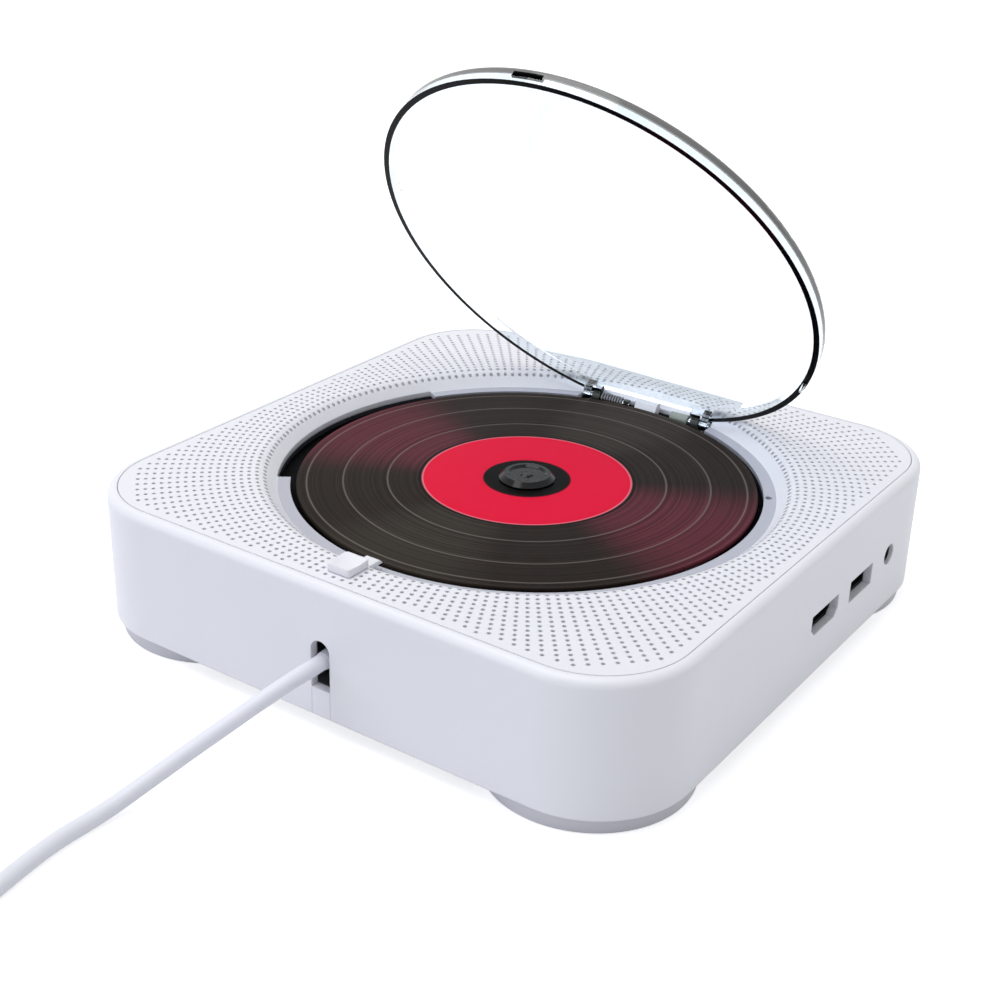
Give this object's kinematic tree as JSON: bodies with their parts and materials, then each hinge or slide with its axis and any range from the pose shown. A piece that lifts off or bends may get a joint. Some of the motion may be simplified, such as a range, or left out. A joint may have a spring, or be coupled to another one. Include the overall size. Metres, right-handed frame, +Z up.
{
  "type": "wall mounted cd player",
  "caption": "Square disc player with a perforated deck, clear round flip-up lid, top loading well, side sockets, edge buttons, round feet, rear keyholes and a power cord.",
  "frame": {"origin": "on the surface that the feet stand on, below the centre of the disc", "axes": "+Z up through the deck and the disc's spindle, +X towards the side with the sockets, +Y towards the hinge and the buttons, which is up when the player hangs on a wall"},
  "size_m": [0.166, 0.3093, 0.1409],
  "materials": {
    "case": "satin white ABS",
    "grey_plastic": "pale grey moulded plastic",
    "black_plastic": "matt black ABS",
    "hub": "gloss black plastic",
    "lid": "clear acrylic",
    "disc": "dark dyed polycarbonate",
    "steel": "plated steel",
    "brass": "turned brass",
    "rubber": "black rubber",
    "cloth": "black speaker cloth",
    "board": "green glass epoxy board",
    "components": "moulded components",
    "white_plastic": "white acetal",
    "damper": "grey green plastic",
    "bracket": "dark moulded plastic",
    "lens": "coated lens",
    "ribbon": "flat ribbon cable",
    "cord": "soft PVC"
  },
  "bodies": {
    "case": {"case_shell": "case", "grille_panel": "case", "speaker_baffle": "black_plastic", "speaker_cloths": "cloth", "well_tray": "black_plastic", "back_cover": "case", "case_screws": "steel", "feet": "grey_plastic", "foot_pads": "grey_plastic", "slot_filler": "case", "hinge_bracket": "bracket", "hinge_pins": "steel", "lid_spring": "steel", "lid_damper": "damper", "lid_stop": "case", "lid_switch": "black_plastic", "latch_spring": "steel", "spindle_motor": "steel", "chassis": "steel", "dampers": "rubber", "damper_screws": "steel", "guide_rods": "steel", "sled_motor": "steel", "speaker_left": "black_plastic", "speaker_right": "black_plastic", "speaker_cones": "rubber", "main_board": "board", "board_components": "components", "board_screws": "steel", "socket_board": "board", "hdmi_socket": "steel", "usb_socket": "steel", "audio_jack": "black_plastic", "power_board": "board", "power_socket": "black_plastic", "button_board": "board", "button_ribbon": "ribbon", "near_plug": "grey_plastic", "power_cord": "cord", "cord_coil": "cord", "far_plug": "cord"},
    "lid": {"lid": "lid"},
    "latch": {"latch": "case"},
    "turntable": {"turntable": "hub", "turntable_mat": "rubber", "centring_balls": "steel", "spindle": "steel"},
    "disc": {"disc": "disc"},
    "sled": {"pickup_sled": "black_plastic", "pickup_lens": "lens", "sled_rack": "white_plastic"},
    "compound_gear": {"compound_gear": "white_plastic"},
    "motor_pinion": {"motor_pinion": "brass"},
    "button_1": {"button_1": "case"},
    "button_2": {"button_2": "case"},
    "button_3": {"button_3": "case"},
    "button_4": {"button_4": "case"},
    "button_5": {"button_5": "case"}
  },
  "joints": [
    {"name": "lid_hinge", "type": "hinge", "parent": "case", "child": "lid", "pos_m": [0, 0.0616, 0.0347], "axis": [1, 0, 0], "range_deg": [0, 56], "stiffness_Nm_per_rad": 0.006, "springref_deg": -148.97},
    {"name": "latch_slide", "type": "slide", "parent": "case", "child": "latch", "axis": [0, -1, 0], "range_m": [0, 0.0025], "stiffness_N_per_m": 300, "springref_m": -0.002, "deforming": ["latch_spring"]},
    {"name": "turntable_spin", "type": "hinge", "parent": "case", "child": "turntable", "pos_m": [0, 0, 0.033], "axis": [0, 0, 1], "continuous": true},
    {"name": "disc_lift", "type": "slide", "parent": "turntable", "child": "disc", "axis": [0, 0, 1], "range_m": [0, 0.0016]},
    {"name": "sled_slide", "type": "slide", "parent": "case", "child": "sled", "axis": [0, -1, 0], "range_m": [0, 0.035]},
    {"name": "compound_gear_spin", "type": "hinge", "parent": "case", "child": "compound_gear", "pos_m": [0.0259, -0.032, 0.02], "axis": [0, 0, 1], "range_deg": [-5, 482.5]},
    {"name": "motor_pinion_spin", "type": "hinge", "parent": "case", "child": "motor_pinion", "pos_m": [0.03329, -0.04081, 0.02], "axis": [0, 0, 1], "range_deg": [-1728.9, 10]},
    {"name": "button_1_press", "type": "slide", "parent": "case", "child": "button_1", "axis": [0, -1, 0], "range_m": [0, 0.0006], "stiffness_N_per_m": 400, "springref_m": -0.0003},
    {"name": "button_2_press", "type": "slide", "parent": "case", "child": "button_2", "axis": [0, -1, 0], "range_m": [0, 0.0006], "stiffness_N_per_m": 400, "springref_m": -0.0003},
    {"name": "button_3_press", "type": "slide", "parent": "case", "child": "button_3", "axis": [0, -1, 0], "range_m": [0, 0.0006], "stiffness_N_per_m": 400, "springref_m": -0.0003},
    {"name": "button_4_press", "type": "slide", "parent": "case", "child": "button_4", "axis": [0, -1, 0], "range_m": [0, 0.0006], "stiffness_N_per_m": 400, "springref_m": -0.0003},
    {"name": "button_5_press", "type": "slide", "parent": "case", "child": "button_5", "axis": [0, -1, 0], "range_m": [0, 0.0006], "stiffness_N_per_m": 400, "springref_m": -0.0003}
  ],
  "couplings": [
    {"joint": "compound_gear_spin", "follows": "sled_slide", "rad_per_m": 238.1},
    {"joint": "motor_pinion_spin", "follows": "sled_slide", "rad_per_m": -857.14}
  ]
}
